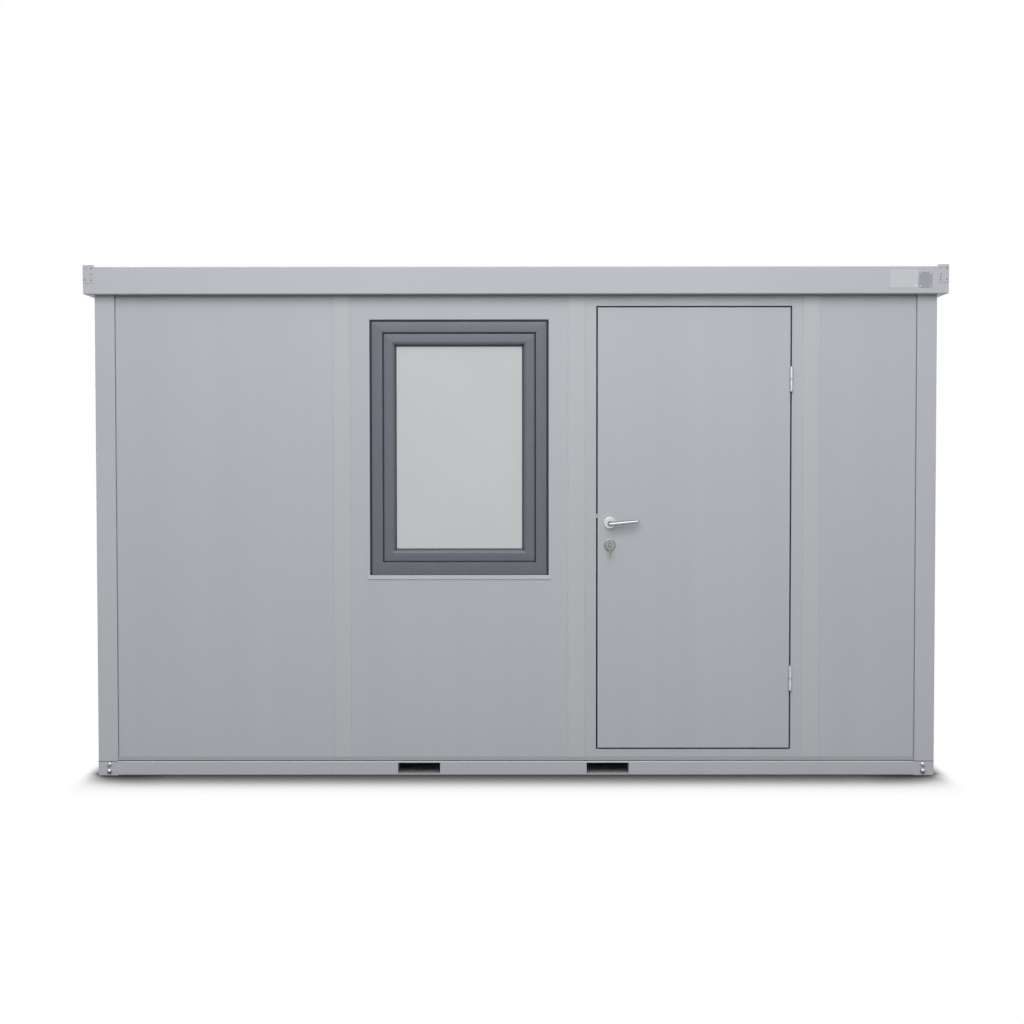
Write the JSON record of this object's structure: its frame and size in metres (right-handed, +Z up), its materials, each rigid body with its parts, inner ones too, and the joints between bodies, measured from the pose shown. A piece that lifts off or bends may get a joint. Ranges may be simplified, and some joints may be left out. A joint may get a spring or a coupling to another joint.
{
  "type": "site office cabin",
  "caption": "light grey flat-pack steel site office cabin with insulated wall panels, a dark-framed window, a flush outward-opening door and fork pockets in the base",
  "frame": {"origin": "on the ground under the middle of the cabin", "axes": "+X along the front from left to right, -Y out of the front with the door, +Z up"},
  "size_m": [4, 2.2, 2.375],
  "materials": {
    "frame_paint": "satin",
    "panel_paint": "satin",
    "roof_paint": "satin",
    "galvanised": "matte",
    "plywood": "matte",
    "window_plastic": "satin",
    "seal_rubber": "matte",
    "pane": "gloss",
    "bright_steel": "satin"
  },
  "bodies": {
    "cabin": {"base_rail_front": "frame_paint", "base_rail_right": "frame_paint", "base_rail_back": "frame_paint", "base_rail_left": "frame_paint", "fork_pockets": "galvanised", "base_corners": "frame_paint", "floor_joists": "galvanised", "floor_deck": "plywood", "corner_post_front_left": "frame_paint", "corner_post_front_right": "frame_paint", "corner_post_back_left": "frame_paint", "corner_post_back_right": "frame_paint", "front_plain_panel": "panel_paint", "front_window_panel": "panel_paint", "front_narrow_panel": "panel_paint", "back_panels": "panel_paint", "left_panels": "panel_paint", "right_panels": "panel_paint", "front_joint_profiles": "panel_paint", "right_joint_profiles": "panel_paint", "back_joint_profiles": "panel_paint", "left_joint_profiles": "panel_paint", "window_sill": "panel_paint", "window_frame": "window_plastic", "window_gasket": "seal_rubber", "window_sash": "window_plastic", "window_glass": "pane", "door_threshold": "panel_paint", "door_jamb_latch": "panel_paint", "door_jamb_hinge": "panel_paint", "door_head": "panel_paint", "strike_plate": "bright_steel", "hinge_frame_halves": "bright_steel", "roof_deck": "roof_paint", "roof_fascia_front": "frame_paint", "roof_fascia_right": "frame_paint", "roof_fascia_back": "frame_paint", "roof_fascia_left": "frame_paint", "roof_caps": "frame_paint"},
    "door": {"door_leaf": "panel_paint", "hinge_leaf_halves": "bright_steel", "lock_forend": "bright_steel", "latch_bolt": "bright_steel", "handle_roses": "bright_steel", "lock_roses": "bright_steel", "lock_cylinder": "bright_steel", "door_keys": "bright_steel"},
    "handle": {"lever_outside": "bright_steel", "lever_inside": "bright_steel"}
  },
  "joints": [
    {"name": "door_swing", "type": "hinge", "parent": "cabin", "child": "door", "pos_m": [1.281, -1.0535, 1.155], "axis": [0, 0, 1], "range_deg": [0, 170]},
    {"name": "handle_turn", "type": "hinge", "parent": "door", "child": "handle", "pos_m": [0.4385, -1.023, 1.182], "axis": [0, 1, 0], "range_deg": [0, 45], "stiffness_Nm_per_rad": 1.2, "springref_deg": -20.05}
  ]
}
